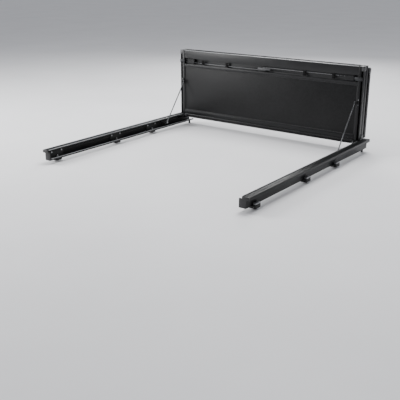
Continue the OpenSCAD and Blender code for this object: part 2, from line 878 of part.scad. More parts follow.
left_side_rail();
right_side_rail();
header_rail();
rail_top_seals();
foam_strips();
header_bumpers();
corner_brackets();
fasteners();
clamp_hangers();
clamp_bodies();
clamp_jaws();
rail_end_caps();
drain_nipples();
lift_hinge_pin();
rod_brackets();
rod_pivot_pins();
front_board();
front_hinge_bar();
front_latch_bar();
front_left_frame();
front_right_frame();
front_latch_housings();
front_cable_clips();
front_left_latch();
front_right_latch();
front_left_cable();
front_right_cable();
front_release_lever();
rod_keepers();
middle_board();
middle_hinge_bar();
middle_latch_bar();
middle_left_frame();
middle_right_frame();
middle_latch_housings();
middle_cable_clips();
middle_left_latch();
middle_right_latch();
middle_left_cable();
middle_right_cable();
middle_release_lever();
fold_hinge_pin();
rear_hinge_pin();
rear_board();
rear_hinge_bar();
rear_latch_bar();
rear_left_frame();
rear_right_frame();
rear_latch_housings();
rear_cable_clips();
rear_left_latch();
rear_right_latch();
rear_left_cable();
rear_right_cable();
rear_release_lever();
tail_seal();
left_prop_rod();
right_prop_rod();
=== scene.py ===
import json
import math
import bpy
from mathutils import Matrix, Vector


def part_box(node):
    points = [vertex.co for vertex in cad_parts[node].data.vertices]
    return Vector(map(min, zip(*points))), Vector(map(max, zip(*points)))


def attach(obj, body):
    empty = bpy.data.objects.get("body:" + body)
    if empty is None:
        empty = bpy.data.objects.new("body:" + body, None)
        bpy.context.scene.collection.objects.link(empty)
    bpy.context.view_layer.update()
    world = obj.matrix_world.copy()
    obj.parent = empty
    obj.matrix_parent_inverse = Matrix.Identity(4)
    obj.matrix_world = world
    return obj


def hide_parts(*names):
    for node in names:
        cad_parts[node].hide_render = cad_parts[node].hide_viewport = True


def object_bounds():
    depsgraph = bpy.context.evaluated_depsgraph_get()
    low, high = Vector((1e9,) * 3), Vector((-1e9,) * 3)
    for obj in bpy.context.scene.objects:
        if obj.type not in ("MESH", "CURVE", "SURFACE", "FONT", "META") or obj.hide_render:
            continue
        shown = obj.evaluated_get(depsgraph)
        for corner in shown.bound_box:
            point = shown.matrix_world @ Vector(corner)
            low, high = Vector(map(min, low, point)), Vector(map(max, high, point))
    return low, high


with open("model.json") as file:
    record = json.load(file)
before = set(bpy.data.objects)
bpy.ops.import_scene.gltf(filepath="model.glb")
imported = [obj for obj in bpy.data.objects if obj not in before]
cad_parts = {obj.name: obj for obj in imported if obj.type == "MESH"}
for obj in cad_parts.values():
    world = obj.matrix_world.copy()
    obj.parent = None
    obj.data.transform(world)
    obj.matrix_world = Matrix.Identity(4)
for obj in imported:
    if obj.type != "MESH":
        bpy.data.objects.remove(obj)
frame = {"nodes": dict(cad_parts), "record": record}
cad_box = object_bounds()


# ------------------------------------------------------------------ camera
# A long lens behind the truck's right rear corner, about a metre above the rails,
# looking forward and down across the bed at the standing panels.
camera_azimuth = math.radians(36.71)
camera_elevation = math.radians(19.46)
bpy.ops.object.camera_add(
    location=(2.464, -4.052, 1.125),
    rotation=(math.pi / 2 - camera_elevation, 0, camera_azimuth),
)
camera = bpy.context.active_object
camera.data.sensor_width = 36
camera.data.lens = 60.36
camera.data.dof.use_dof = False
bpy.context.scene.camera = camera


# ------------------------------------------------------------------ side rails
# Two black powder-coated aluminium extrusions, clamped along the bed sides. The saw-cut ends
# are square and the long edges carry the small radius that the extrusion die gives them.
def new_material(name):
    """An empty node material: its tree, its surface shader and the piece's own coordinates."""
    material = bpy.data.materials.new(name)
    material.use_nodes = True
    tree = material.node_tree
    shader = tree.nodes["Principled BSDF"]
    coords = tree.nodes.new("ShaderNodeTexCoord").outputs["Object"]
    return material, tree, shader, coords


def stretched(tree, coords, scale):
    """The same coordinates, scaled differently along each axis."""
    mapping = tree.nodes.new("ShaderNodeMapping")
    mapping.inputs["Scale"].default_value = scale
    tree.links.new(coords, mapping.inputs["Vector"])
    return mapping.outputs["Vector"]


def noise(tree, coords, scale, detail=4, roughness=0.55):
    node = tree.nodes.new("ShaderNodeTexNoise")
    node.inputs["Scale"].default_value = scale
    node.inputs["Detail"].default_value = detail
    node.inputs["Roughness"].default_value = roughness
    tree.links.new(coords, node.inputs["Vector"])
    return node.outputs["Fac"]


def between(tree, factor, low, high, start=0.3, stop=0.7):
    """A number that runs from low to high as factor runs from start to stop."""
    node = tree.nodes.new("ShaderNodeMapRange")
    node.inputs["From Min"].default_value = start
    node.inputs["From Max"].default_value = stop
    node.inputs["To Min"].default_value = low
    node.inputs["To Max"].default_value = high
    tree.links.new(factor, node.inputs["Value"])
    return node.outputs["Result"]


def blend_colour(tree, factor, first, second, start=0.3, stop=0.7):
    ramp = tree.nodes.new("ShaderNodeValToRGB")
    ramp.color_ramp.elements[0].position = start
    ramp.color_ramp.elements[0].color = (*first, 1)
    ramp.color_ramp.elements[1].position = stop
    ramp.color_ramp.elements[1].color = (*second, 1)
    tree.links.new(factor, ramp.inputs["Fac"])
    return ramp.outputs["Color"]


def combine(tree, first, second, share):
    """A weighted sum of two numbers."""
    node = tree.nodes.new("ShaderNodeMix")
    node.data_type = "FLOAT"
    node.inputs["Factor"].default_value = share
    tree.links.new(first, node.inputs["A"])
    tree.links.new(second, node.inputs["B"])
    return node.outputs["Result"]


def add_bump(tree, shader, height, depth, strength=1.0):
    node = tree.nodes.new("ShaderNodeBump")
    node.inputs["Distance"].default_value = depth
    node.inputs["Strength"].default_value = strength
    tree.links.new(height, node.inputs["Height"])
    tree.links.new(node.outputs["Normal"], shader.inputs["Normal"])


def powder_coat(name, dark, light, gloss_low, gloss_high, grain=900, depth=0.00012, shine=0.5):
    """Baked powder on aluminium: orange-peel grain, cloudy gloss and a little dust."""
    material, tree, shader, coords = new_material(name)
    clouds = noise(tree, coords, 7, detail=5)
    peel = noise(tree, coords, grain, detail=2)
    colour = blend_colour(tree, combine(tree, clouds, peel, 0.35), dark, light)
    tree.links.new(colour, shader.inputs["Base Color"])
    gloss = between(tree, combine(tree, clouds, peel, 0.25), gloss_low, gloss_high)
    tree.links.new(gloss, shader.inputs["Roughness"])
    add_bump(tree, shader, peel, depth)
    shader.inputs["Specular IOR Level"].default_value = shine
    return material


def body_of_node(node):
    return next(b for b, names in frame["record"]["behaviour"]["bodies"].items() if node in names)


smooth_below = math.radians(35)
sharp_above = math.radians(40)


def finish_piece(piece, body, material):
    """Shades a finished mesh, gives it its finish and lets it ride on its body."""
    bpy.ops.object.select_all(action="DESELECT")
    piece.select_set(True)
    bpy.context.view_layer.objects.active = piece
    bpy.ops.object.shade_smooth_by_angle(angle=smooth_below)
    piece.data.materials.clear()
    piece.data.materials.append(material)
    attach(piece, body)


def eased(node, material, radius, shortest):
    """A copy of a CAD node whose sharp edges over a given length carry a small radius."""
    bpy.ops.object.select_all(action="DESELECT")
    mesh = frame["nodes"][node].data.copy()
    piece = bpy.data.objects.new(node + "_eased", mesh)
    bpy.context.scene.collection.objects.link(piece)
    piece.select_set(True)
    bpy.context.view_layer.objects.active = piece
    bpy.ops.object.mode_set(mode="EDIT")
    bpy.ops.mesh.select_mode(type="VERT")
    bpy.ops.mesh.select_all(action="SELECT")
    bpy.ops.mesh.remove_doubles(threshold=0.00001)
    bpy.ops.mesh.dissolve_limited(angle_limit=math.radians(1))
    bpy.ops.mesh.select_mode(type="EDGE")
    bpy.ops.mesh.select_all(action="DESELECT")
    bpy.ops.mesh.edges_select_sharp(sharpness=sharp_above)
    bpy.ops.object.mode_set(mode="OBJECT")
    for edge in mesh.edges:
        a, b = (mesh.vertices[i].co for i in edge.vertices)
        if (a - b).length < shortest:
            edge.select = False
    bpy.ops.object.mode_set(mode="EDIT")
    bpy.ops.mesh.bevel(offset=radius, segments=2, affect="EDGES", clamp_overlap=False)
    bpy.ops.object.mode_set(mode="OBJECT")
    finish_piece(piece, body_of_node(node), material)
    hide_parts(node)


rail_coat = powder_coat(
    "rail_powder_coat", (0.0025, 0.0026, 0.0028), (0.0075, 0.0077, 0.0083), 0.3, 0.46, shine=0.24
)
for side in ("left", "right"):
    eased(side + "_side_rail", rail_coat, 0.0007, shortest=0.02)


# ------------------------------------------------------------------ rack teeth
# A serrated strip of the same aluminium runs inside each rail, under the top lip. The clamp
# plates key into its teeth, so they can be set at any place along the bed.
tooth_pitch = 0.012
tooth_size = (0.0045, 0.0065, 0.0095)
tooth_low = -0.008
tooth_start = 0.006
sunk = 0.0004
header_end_gap = 0.001
lip_depth = 0.022
rail_low, rail_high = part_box("right_side_rail")
lip_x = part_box("header_rail")[1].x + header_end_gap
web_face = lip_x + lip_depth


def select_faces(piece, test):
    """Selects the faces whose centre and normal pass a test, in face mode, and enters edit mode."""
    bpy.ops.object.mode_set(mode="EDIT")
    bpy.ops.mesh.select_mode(type="FACE")
    bpy.ops.mesh.select_all(action="DESELECT")
    bpy.ops.object.mode_set(mode="OBJECT")
    for face in piece.data.polygons:
        face.select = test(face.center, face.normal)
    bpy.ops.object.mode_set(mode="EDIT")


def block(name, low, high):
    """A cube primitive between two corners, its place kept in the mesh."""
    bpy.ops.object.select_all(action="DESELECT")
    low, high = Vector(low), Vector(high)
    bpy.ops.mesh.primitive_cube_add(size=1, location=(low + high) / 2, scale=high - low)
    piece = bpy.context.active_object
    piece.name = name
    bpy.ops.object.transform_apply(location=True, rotation=True, scale=True)
    return piece


def round_all(radius, segments=2):
    """Rounds every edge of the active piece."""
    bpy.ops.object.mode_set(mode="EDIT")
    bpy.ops.mesh.select_mode(type="EDGE")
    bpy.ops.mesh.select_all(action="SELECT")
    bpy.ops.mesh.bevel(offset=radius, segments=segments, affect="EDGES")
    bpy.ops.object.mode_set(mode="OBJECT")


def repeat(piece, step, count):
    """An applied array: count copies, one step apart."""
    array = piece.modifiers.new("row", "ARRAY")
    array.use_relative_offset = False
    array.use_constant_offset = True
    array.constant_offset_displace = step
    array.count = count
    bpy.ops.object.modifier_apply(modifier=array.name)


sides = (("left", -1), ("right", 1))
for side, sign in sides:
    start_y = rail_low.y + tooth_start
    x_in, x_out = sorted((sign * (web_face - tooth_size[0]), sign * (web_face + sunk)))
    teeth = block(
        side + "_rack_teeth",
        (x_in, start_y, tooth_low),
        (x_out, start_y + tooth_size[1], tooth_low + tooth_size[2]),
    )
    round_all(0.0008, 1)
    repeat(teeth, (0, tooth_pitch, 0), int((rail_high.y - start_y) / tooth_pitch) - 1)
    finish_piece(teeth, "frame", rail_coat)


# ------------------------------------------------------------------ rail lips and ribs
# The extrusion ends in a rolled bead along its inner lip, light grey as a painted highlight, and
# carries three low ribs along its outer top face. The gutter has a drip bead, also a painted
# highlight.
top_above_header = 0.015
rail_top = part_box("header_rail")[0].z + top_above_header
# A light satin grey for the lip, gutter and free-edge beads: a painted highlight along those edges.
highlight_grey = powder_coat(
    "painted_highlight_coat", (0.13, 0.132, 0.136), (0.25, 0.253, 0.26), 0.22, 0.36, grain=1300, depth=0.00004
)
bead_r = 0.0028
drip_r = 0.002
drip_inward = 0.0165
drip_rise = 0.0103
bead_middle = (rail_low.y + rail_high.y) / 2
bead_length = rail_high.y - rail_low.y - 0.012
rib_pitch = 0.0075
rib_half_width = 0.0014
rib_height = 0.001
rib_end_gap = 0.008


def bead(name, axis, length, centre, radius):
    """A round bead along X (axis 0) or Y (axis 1), with its two ends domed by a bevel."""
    lying = ((0, math.pi / 2, 0), (math.pi / 2, 0, 0))[axis]
    bpy.ops.object.select_all(action="DESELECT")
    bpy.ops.mesh.primitive_cylinder_add(
        vertices=20, radius=radius, depth=length, rotation=lying, location=centre
    )
    piece = bpy.context.active_object
    piece.name = name
    bpy.ops.object.transform_apply(location=True, rotation=True, scale=True)
    select_faces(piece, lambda centre, normal: abs(normal[axis]) > 0.9)
    bpy.ops.mesh.bevel(offset=radius * 0.4, segments=2, affect="EDGES")
    bpy.ops.object.mode_set(mode="OBJECT")
    return piece


for side, sign in sides:
    lip_place = (sign * (lip_x + bead_r * 0.7), bead_middle, rail_top - bead_r * 0.2)
    lip = bead(side + "_lip_bead", 1, bead_length, lip_place, bead_r)
    finish_piece(lip, "frame", highlight_grey)
    drip_place = (sign * (lip_x - drip_inward), bead_middle, rail_low.z + drip_rise)
    drip = bead(side + "_gutter_bead", 1, bead_length, drip_place, drip_r)
    finish_piece(drip, "frame", highlight_grey)
    for number in range(3):
        rib_x = sign * (web_face + rib_pitch * number)
        rib = block(
            side + "_top_rib_" + str(number),
            (rib_x - rib_half_width, rail_low.y + rib_end_gap, rail_top - sunk),
            (rib_x + rib_half_width, rail_high.y - rib_end_gap, rail_top + rib_height),
        )
        round_all(0.0006)
        finish_piece(rib, "frame", rail_coat)


# ------------------------------------------------------------------ rail seals and foam
# Extruded EPDM strips pressed into the rails' top faces, and closed-cell foam tape below the
# rails and the header, which the bed's paint bears on.
def soft_rubber(name, dark, light, grain, depth, rough=0.72):
    """Matt black rubber: fine grain, chalky patches and a soft sheen."""
    material, tree, shader, coords = new_material(name)
    clouds = noise(tree, coords, 18, detail=6)
    pores = noise(tree, coords, grain, detail=3)
    colour = blend_colour(tree, combine(tree, clouds, pores, 0.4), dark, light)
    tree.links.new(colour, shader.inputs["Base Color"])
    gloss = between(tree, clouds, rough - 0.08, rough + 0.12)
    tree.links.new(gloss, shader.inputs["Roughness"])
    add_bump(tree, shader, pores, depth)
    shader.inputs["Sheen Weight"].default_value = 0.08
    shader.inputs["Specular IOR Level"].default_value = 0.35
    return material


seal_rubber = soft_rubber("seal_rubber", (0.008, 0.008, 0.0085), (0.02, 0.02, 0.021), 1400, 0.0002)
foam_tape = soft_rubber("foam_tape", (0.012, 0.012, 0.012), (0.032, 0.032, 0.033), 700, 0.0005, 0.85)
eased("rail_top_seals", seal_rubber, 0.0006, shortest=0.02)
eased("foam_strips", foam_tape, 0.0006, shortest=0.02)


# ------------------------------------------------------------------ header
# A flat three-cell extrusion across the bulkhead, with the knuckles of the lift hinge cut
# into its rear edge, four rubber bumpers for the folded stack and a ground steel hinge pin.
def bright_steel(name, dark, light, gloss_low, gloss_high, along):
    """Plated or ground steel, with fine lines along one direction and dull patches."""
    material, tree, shader, coords = new_material(name)
    lines = noise(tree, stretched(tree, coords, along), 90, detail=3)
    patches = noise(tree, coords, 40, detail=6)
    both = combine(tree, lines, patches, 0.45)
    tree.links.new(blend_colour(tree, both, dark, light), shader.inputs["Base Color"])
    tree.links.new(between(tree, both, gloss_low, gloss_high), shader.inputs["Roughness"])
    add_bump(tree, shader, lines, 0.00004)
    shader.inputs["Metallic"].default_value = 1.0
    return material


across = (0.4, 14, 14)
upward = (14, 3, 0.6)
zinc_steel = bright_steel("zinc_steel", (0.15, 0.152, 0.158), (0.32, 0.323, 0.332), 0.3, 0.52, across)
rod_steel = bright_steel("rod_steel", (0.045, 0.046, 0.048), (0.11, 0.112, 0.116), 0.28, 0.46, upward)
eased("header_rail", rail_coat, 0.0006, shortest=0.02)
eased("header_bumpers", seal_rubber, 0.0008, shortest=0.0005)
eased("lift_hinge_pin", zinc_steel, 0.0004, shortest=0.0001)


# ------------------------------------------------------------------ corner brackets and clamps
# Pressed brackets join the header to the rails, and cast clamps with toothed steel jaws hold
# each rail to the bed's flange. All are black coated, with zinc-plated bolts and nuts.
clamp_coat = powder_coat(
    "clamp_coat", (0.003, 0.0031, 0.0033), (0.009, 0.0092, 0.0097), 0.46, 0.62,
    grain=520, depth=0.00025, shine=0.25,
)
eased("corner_brackets", clamp_coat, 0.0006, shortest=0.004)
eased("clamp_hangers", clamp_coat, 0.0006, shortest=0.006)
eased("clamp_bodies", clamp_coat, 0.0012, shortest=0.006)
eased("clamp_jaws", zinc_steel, 0.0004, shortest=0.004)
eased("fasteners", zinc_steel, 0.0005, shortest=0.002)
eased("rod_brackets", clamp_coat, 0.0007, shortest=0.003)
eased("rod_pivot_pins", zinc_steel, 0.0005, shortest=0.0004)


# ------------------------------------------------------------------ rail ends and drains
# Moulded black plastic caps close the rails' rear ends, and barbed nipples let the rain that
# the gutters catch run down into tubes at the front corners.
def moulded_plastic(name, dark, light, rough, shine=0.4):
    """Black nylon: spark-eroded grain, flow clouds and slightly rubbed gloss."""
    material, tree, shader, coords = new_material(name)
    clouds = noise(tree, coords, 24, detail=4)
    spark = noise(tree, coords, 1800, detail=2)
    colour = blend_colour(tree, combine(tree, clouds, spark, 0.3), dark, light)
    tree.links.new(colour, shader.inputs["Base Color"])
    gloss = between(tree, combine(tree, clouds, spark, 0.5), rough - 0.07, rough + 0.1)
    tree.links.new(gloss, shader.inputs["Roughness"])
    add_bump(tree, shader, spark, 0.00008)
    shader.inputs["Specular IOR Level"].default_value = shine
    return material


black_nylon = moulded_plastic("black_nylon", (0.008, 0.008, 0.0085), (0.019, 0.019, 0.02), 0.46)
eased("rail_end_caps", black_nylon, 0.0009, shortest=0.003)
eased("drain_nipples", black_nylon, 0.0004, shortest=0.0005)


# ------------------------------------------------------------------ panel boards
# Each panel is a cored board with a fine-grained black composite skin, held in the grooves
# of its frame, and sealed inside the frame by a dark bead with rounded corners.
def pebbled_skin(name):
    """Composite skin: small pebbles, a faint long-wave mottle and a low satin gloss."""
    material, tree, shader, coords = new_material(name)
    cells = tree.nodes.new("ShaderNodeTexVoronoi")
    cells.feature = "SMOOTH_F1"
    cells.inputs["Scale"].default_value = 420
    tree.links.new(coords, cells.inputs["Vector"])
    pebbles = cells.outputs["Distance"]
    fine = noise(tree, coords, 1500, detail=2)
    mottle = noise(tree, coords, 90, detail=6, roughness=0.7)
    drift = noise(tree, coords, 3.5, detail=3)
    shade = combine(tree, combine(tree, mottle, drift, 0.3), pebbles, 0.2)
    colour = blend_colour(tree, shade, (0.0006, 0.0006, 0.0006), (0.0115, 0.0115, 0.012), 0.3, 0.64)
    tree.links.new(colour, shader.inputs["Base Color"])
    gloss = between(tree, combine(tree, mottle, fine, 0.25), 0.34, 0.62)
    tree.links.new(gloss, shader.inputs["Roughness"])
    grain = combine(tree, pebbles, fine, 0.3)
    add_bump(tree, shader, combine(tree, grain, mottle, 0.6), 0.0011, 0.9)
    shader.inputs["Specular IOR Level"].default_value = 0.2
    return material


panel_skin = pebbled_skin("panel_skin")
panels = ("front", "middle", "rear")
for panel in panels:
    eased(panel + "_board", panel_skin, 0.0008, shortest=0.02)


# ------------------------------------------------------------------ panel frames
# The frame of each panel is mitre-free: two slotted side extrusions, a hinge bar at one end
# and a wider latch bar at the other, drawn together by long screws.
bar_grey = powder_coat(
    "bar_grey", (0.005, 0.0051, 0.0054), (0.011, 0.0112, 0.0118), 0.32, 0.46,
    grain=1300, depth=0.00006, shine=0.32,
)
# The right side frames take the darker rail coat and the left ones the lighter bar grey: painted
# shade on the stack's right side.
for panel in panels:
    eased(panel + "_hinge_bar", rail_coat, 0.0008, shortest=0.02)
    eased(panel + "_left_frame", bar_grey, 0.0008, shortest=0.02)
    eased(panel + "_right_frame", rail_coat, 0.0008, shortest=0.02)
    eased(panel + "_latch_bar", bar_grey, 0.0008, shortest=0.02)


# ------------------------------------------------------------------ latches
# In each latch channel two cast housings guide black-zinc slam bolts, which hook under the
# rails' lips. Cables in a grey jacket run on black clips to a lever in the middle.
def cable_jacket(name):
    """A grey plastic jacket over twisted wire, which shows through as faint ridges."""
    material, tree, shader, coords = new_material(name)
    twist = tree.nodes.new("ShaderNodeTexWave")
    twist.bands_direction = "DIAGONAL"
    twist.inputs["Scale"].default_value = 160
    twist.inputs["Distortion"].default_value = 0.4
    tree.links.new(coords, twist.inputs["Vector"])
    ridges = twist.outputs["Fac"]
    grime = noise(tree, coords, 60, detail=5)
    shade = combine(tree, ridges, grime, 0.6)
    colour = blend_colour(tree, shade, (0.09, 0.091, 0.094), (0.17, 0.171, 0.175))
    tree.links.new(colour, shader.inputs["Base Color"])
    tree.links.new(between(tree, grime, 0.38, 0.56), shader.inputs["Roughness"])
    add_bump(tree, shader, ridges, 0.0002)
    return material


jacket_grey = cable_jacket("cable_jacket")
black_zinc = bright_steel(
    "black_zinc", (0.018, 0.0185, 0.0195), (0.06, 0.061, 0.063), 0.32, 0.52, across
)
lever_grey = moulded_plastic("lever_grey", (0.04, 0.0405, 0.042), (0.075, 0.076, 0.078), 0.46)
clip_black = moulded_plastic(
    "clip_black", (0.0006, 0.0006, 0.0006), (0.0025, 0.0025, 0.0026), 0.66, shine=0.12
)
for panel in panels:
    eased(panel + "_latch_housings", clamp_coat, 0.0009, shortest=0.004)
    eased(panel + "_cable_clips", clip_black, 0.0005, shortest=0.002)
    eased(panel + "_release_lever", lever_grey, 0.0007, shortest=0.0006)
    for side in ("left", "right"):
        eased(panel + "_" + side + "_latch", black_zinc, 0.0006, shortest=0.003)
        eased(panel + "_" + side + "_cable", jacket_grey, 0.0005, shortest=0.0001)


# ------------------------------------------------------------------ fold hinges and tail seal
# Ground pins run through the knuckles of both fold hinges. An EPDM blade is pushed into the
# rear panel's last bar and seals it on the tailgate.
eased("fold_hinge_pin", zinc_steel, 0.0003, shortest=0.0001)
eased("rear_hinge_pin", zinc_steel, 0.0003, shortest=0.0001)
eased("tail_seal", seal_rubber, 0.0008, shortest=0.02)


# ------------------------------------------------------------------ board beads
# A ring of black sealant with rounded corners closes the joint between each board and its
# frame, on the underside and on the outer face.
bead_width = 0.006
bead_height = 0.0026
bead_corner = 0.016
bead_sunk = 0.0002
hinge_bar_height = 0.035
board_from_edge = 0.0225
groove_slack = 0.001
groove_depth = 0.0118


def facing_of(panel):
    """The way along Y that a panel's underside faces. The middle panel is folded over.

    The panel's hinge edge lies the same way along Z, and its free edge the other way."""
    return 1 if panel == "middle" else -1


def end_of(box, axis, direction):
    """The place along an axis of a box's end that lies in the given direction."""
    return box[1 if direction > 0 else 0][axis]


def rounded_ring(name, low, high, depth_from, depth_to, corner, width):
    """A flat ring in an XZ rectangle, from one Y to another, with round corners."""
    bpy.ops.object.select_all(action="DESELECT")
    bpy.ops.mesh.primitive_plane_add(
        size=1, rotation=(math.pi / 2, 0, 0),
        location=((low[0] + high[0]) / 2, depth_from, (low[1] + high[1]) / 2),
    )
    piece = bpy.context.active_object
    piece.name = name
    piece.scale = (high[0] - low[0], high[1] - low[1], 1)
    bpy.ops.object.transform_apply(location=True, rotation=True, scale=True)
    bpy.ops.object.mode_set(mode="EDIT")
    bpy.ops.mesh.select_all(action="SELECT")
    bpy.ops.mesh.bevel(offset=corner, segments=6, affect="VERTICES")
    bpy.ops.mesh.select_mode(type="FACE")
    bpy.ops.mesh.select_all(action="SELECT")
    bpy.ops.mesh.inset(thickness=width)
    bpy.ops.mesh.delete(type="FACE")
    bpy.ops.mesh.select_all(action="SELECT")
    bpy.ops.mesh.extrude_region_move(
        TRANSFORM_OT_translate={"value": (0, depth_to - depth_from, 0)}
    )
    bpy.ops.mesh.select_all(action="SELECT")
    bpy.ops.mesh.normals_make_consistent(inside=False)
    bpy.ops.mesh.select_mode(type="EDGE")
    bpy.ops.mesh.select_all(action="DESELECT")
    bpy.ops.mesh.edges_select_sharp(sharpness=math.radians(60))
    bpy.ops.mesh.bevel(offset=abs(depth_to - depth_from) * 0.35, segments=2, affect="EDGES")
    bpy.ops.object.mode_set(mode="OBJECT")
    return piece


for panel in panels:
    facing = facing_of(panel)
    edge_z = end_of(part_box(panel + "_left_frame"), 2, facing)
    left_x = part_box(panel + "_left_frame")[1].x
    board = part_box(panel + "_board")
    board_length = abs(board[1].z - board[0].z)
    hinge_edge = edge_z - facing * hinge_bar_height
    latch_edge = edge_z - facing * (board_length + board_from_edge - groove_slack - groove_depth)
    low_z, high_z = sorted((hinge_edge, latch_edge))
    for label, away in (("under", facing), ("outer", -facing)):
        board_face = end_of(board, 1, away)
        ring = rounded_ring(
            panel + "_" + label + "_bead", (left_x, low_z), (-left_x, high_z),
            board_face - away * bead_sunk, board_face + away * bead_height,
            bead_corner, bead_width,
        )
        finish_piece(ring, panel + "_panel", seal_rubber)


# ------------------------------------------------------------------ screws
# Button-head screws with a round socket: four in each latch housing and two at each end of
# the hinge bars, in black zinc, and two in each rod keeper, in bright zinc. One is modelled
# at a time and then copied.
housing_screw_backs = (0.009, 0.053)
housing_screw_rise = 0.014
bar_screw_x = (0.690, 0.662)
bar_screw_rise = 0.017
keeper_plate = 0.003
keeper_screw_edge = 0.006
keeper_screw_pitch = 0.032


def select_edges(piece, test):
    """Selects the edges whose two end points pass a test, and enters edit mode."""
    bpy.ops.object.mode_set(mode="EDIT")
    bpy.ops.mesh.select_mode(type="EDGE")
    bpy.ops.mesh.select_all(action="DESELECT")
    bpy.ops.object.mode_set(mode="OBJECT")
    for edge in piece.data.edges:
        first, second = (piece.data.vertices[i].co for i in edge.vertices)
        edge.select = test(first, second)
    bpy.ops.object.mode_set(mode="EDIT")


def button_screw(name, radius, height, facing):
    """A button head at the origin that stands out along the Y axis, with its socket."""
    def at_rim(point):
        on_radius = abs(point.xz.length - radius) < radius * 0.02
        return on_radius and point.y * facing > height * 0.5

    bpy.ops.object.select_all(action="DESELECT")
    bpy.ops.mesh.primitive_cylinder_add(
        vertices=18, radius=radius, depth=height, rotation=(-facing * math.pi / 2, 0, 0),
        location=(0, facing * height / 2, 0),
    )
    piece = bpy.context.active_object
    piece.name = name
    bpy.ops.object.transform_apply(location=True, rotation=True, scale=True)
    select_faces(piece, lambda centre, normal: normal.y * facing > 0.9)
    bpy.ops.mesh.inset(thickness=radius * 0.28)
    bpy.ops.mesh.inset(thickness=radius * 0.2)
    bpy.ops.mesh.extrude_region_move(
        TRANSFORM_OT_translate={"value": (0, -facing * height * 0.6, 0)}
    )
    select_edges(piece, lambda first, second: at_rim(first) and at_rim(second))
    bpy.ops.mesh.bevel(offset=height * 0.5, segments=3, affect="EDGES")
    bpy.ops.object.mode_set(mode="OBJECT")
    return piece


def copies(piece, places, name):
    """The same mesh at every place, joined into one piece."""
    made = []
    for place in places:
        mesh = piece.data.copy()
        for vertex in mesh.vertices:
            vertex.co += Vector(place)
        twin = bpy.data.objects.new(name, mesh)
        bpy.context.scene.collection.objects.link(twin)
        made.append(twin)
    bpy.data.objects.remove(piece)
    bpy.ops.object.select_all(action="DESELECT")
    for twin in made:
        twin.select_set(True)
    bpy.context.view_layer.objects.active = made[0]
    bpy.ops.object.join()
    return made[0]


for panel in panels:
    facing = facing_of(panel)
    under_y = end_of(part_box(panel + "_left_frame"), 1, facing)
    edge_z = end_of(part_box(panel + "_left_frame"), 2, facing)
    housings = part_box(panel + "_latch_housings")
    housing_face = end_of(housings, 1, facing)
    latch_z = (housings[0].z + housings[1].z) / 2
    places = [
        (sign * (housings[1].x - back), housing_face, latch_z + rise)
        for sign in (-1, 1)
        for back in housing_screw_backs
        for rise in (-housing_screw_rise, housing_screw_rise)
    ]
    screws = copies(
        button_screw("screw", 0.0034, 0.0018, facing), places, panel + "_housing_screws"
    )
    finish_piece(screws, panel + "_panel", black_zinc)
    bar_ends = [
        (sign * x, under_y, edge_z - facing * bar_screw_rise)
        for sign in (-1, 1)
        for x in bar_screw_x
    ]
    screws = copies(
        button_screw("screw", 0.0042, 0.0022, facing), bar_ends, panel + "_bar_screws"
    )
    finish_piece(screws, panel + "_panel", black_zinc)

keeper_low, keeper_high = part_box("rod_keepers")
plate_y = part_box("front_left_frame")[0].y - keeper_plate
keeper_screw_z = keeper_low.z + keeper_screw_edge
keeper_places = [
    (sign * (keeper_high.x - keeper_screw_edge), plate_y, keeper_screw_z + rise)
    for sign in (-1, 1)
    for rise in (0, keeper_screw_pitch)
]
keeper_screws = copies(
    button_screw("screw", 0.0036, 0.002, -1), keeper_places, "keeper_screws"
)
finish_piece(keeper_screws, "front_panel", zinc_steel)


# ------------------------------------------------------------------ clip covers
# Each cable clip has a snap-on cover with a raised rib across it, black nylon. It stands in
# front of the cable and reaches almost across the channel.
cover_half = (0.011, 0.0155)
cover_depth = 0.0014
cover_sunk = 0.0006
cover_margin = 0.004
cover_rib = 0.0008
clip_half_width = 0.006
clip_pitch = 0.214
for panel in panels:
    facing = facing_of(panel)
    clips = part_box(panel + "_cable_clips")
    clip_z = (clips[0].z + clips[1].z) / 2
    front_y = end_of(clips, 1, facing)
    outer_clip_x = clips[1].x - clip_half_width
    inner_clip_x = outer_clip_x - clip_pitch
    for number, x in enumerate((-outer_clip_x, -inner_clip_x, inner_clip_x, outer_clip_x)):
        y_low, y_high = sorted((front_y - facing * cover_sunk, front_y + facing * cover_depth))
        cover = block(
            panel + "_clip_cover_" + str(number),
            (x - cover_half[0], y_low, clip_z - cover_half[1]),
            (x + cover_half[0], y_high, clip_z + cover_half[1]),
        )
        select_faces(cover, lambda centre, normal: normal.y * facing > 0.9)
        bpy.ops.mesh.inset(thickness=cover_margin)
        bpy.ops.mesh.extrude_region_move(
            TRANSFORM_OT_translate={"value": (0, facing * cover_rib, 0)}
        )
        bpy.ops.object.mode_set(mode="OBJECT")
        round_all(0.0004)
        finish_piece(cover, panel + "_panel", clip_black)


# ------------------------------------------------------------------ corner and end caps
# A moulded cap wraps each outer corner at a panel's free end. It's flush on the underside,
# where the panel lies on the rails' seals. Flat plugs with rounded corners close the side
# extrusions at their hinge ends.
cap_coat = moulded_plastic("cap_plastic", (0.03, 0.0305, 0.032), (0.06, 0.061, 0.063), 0.36)
cap_length = 0.03
cap_proud = 0.0022
cap_wrap = 0.001
cap_end_proud = 0.0004
cap_under_gap = 0.0004
cap_outer_gap = 0.0006
plug_inset = 0.0008
plug_proud = 0.0006


def round_edges_along(piece, axis, radius):
    """Rounds the edges of a block that run along one axis."""
    select_edges(
        piece,
        lambda first, second: abs((second - first)[axis]) > 0.9 * (second - first).length,
    )
    bpy.ops.mesh.bevel(offset=radius, segments=4, affect="EDGES")
    bpy.ops.object.mode_set(mode="OBJECT")


